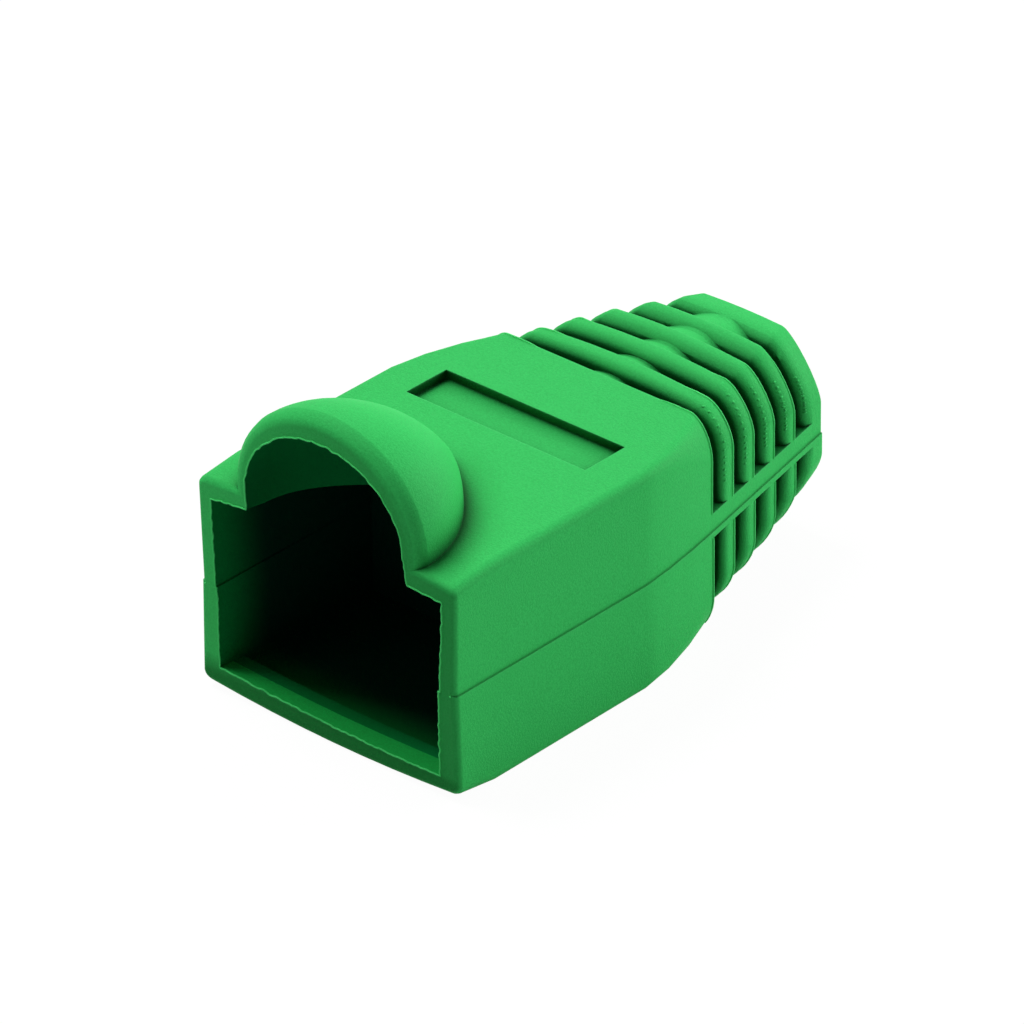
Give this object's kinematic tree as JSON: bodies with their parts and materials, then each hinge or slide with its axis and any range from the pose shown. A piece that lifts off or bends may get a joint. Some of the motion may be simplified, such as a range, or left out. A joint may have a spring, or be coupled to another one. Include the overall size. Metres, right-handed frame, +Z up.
{
  "type": "rj45 strain relief boot",
  "caption": "One-piece soft plastic boot that grips the rear of a modular plug, with a hood over the latch and a ribbed tapering neck round the cable.",
  "frame": {"origin": "middle of the bounding box, on the flat underside that the boot rests on", "axes": "+Y along the cable, from the mouth towards the end collar; +Z up, through the hood; +X to the right seen from the mouth"},
  "size_m": [0.0138, 0.025, 0.0144],
  "materials": {
    "green_plastic": "matte, fine grain"
  },
  "bodies": {
    "root": {"boot": "green_plastic"}
  },
  "joints": []
}
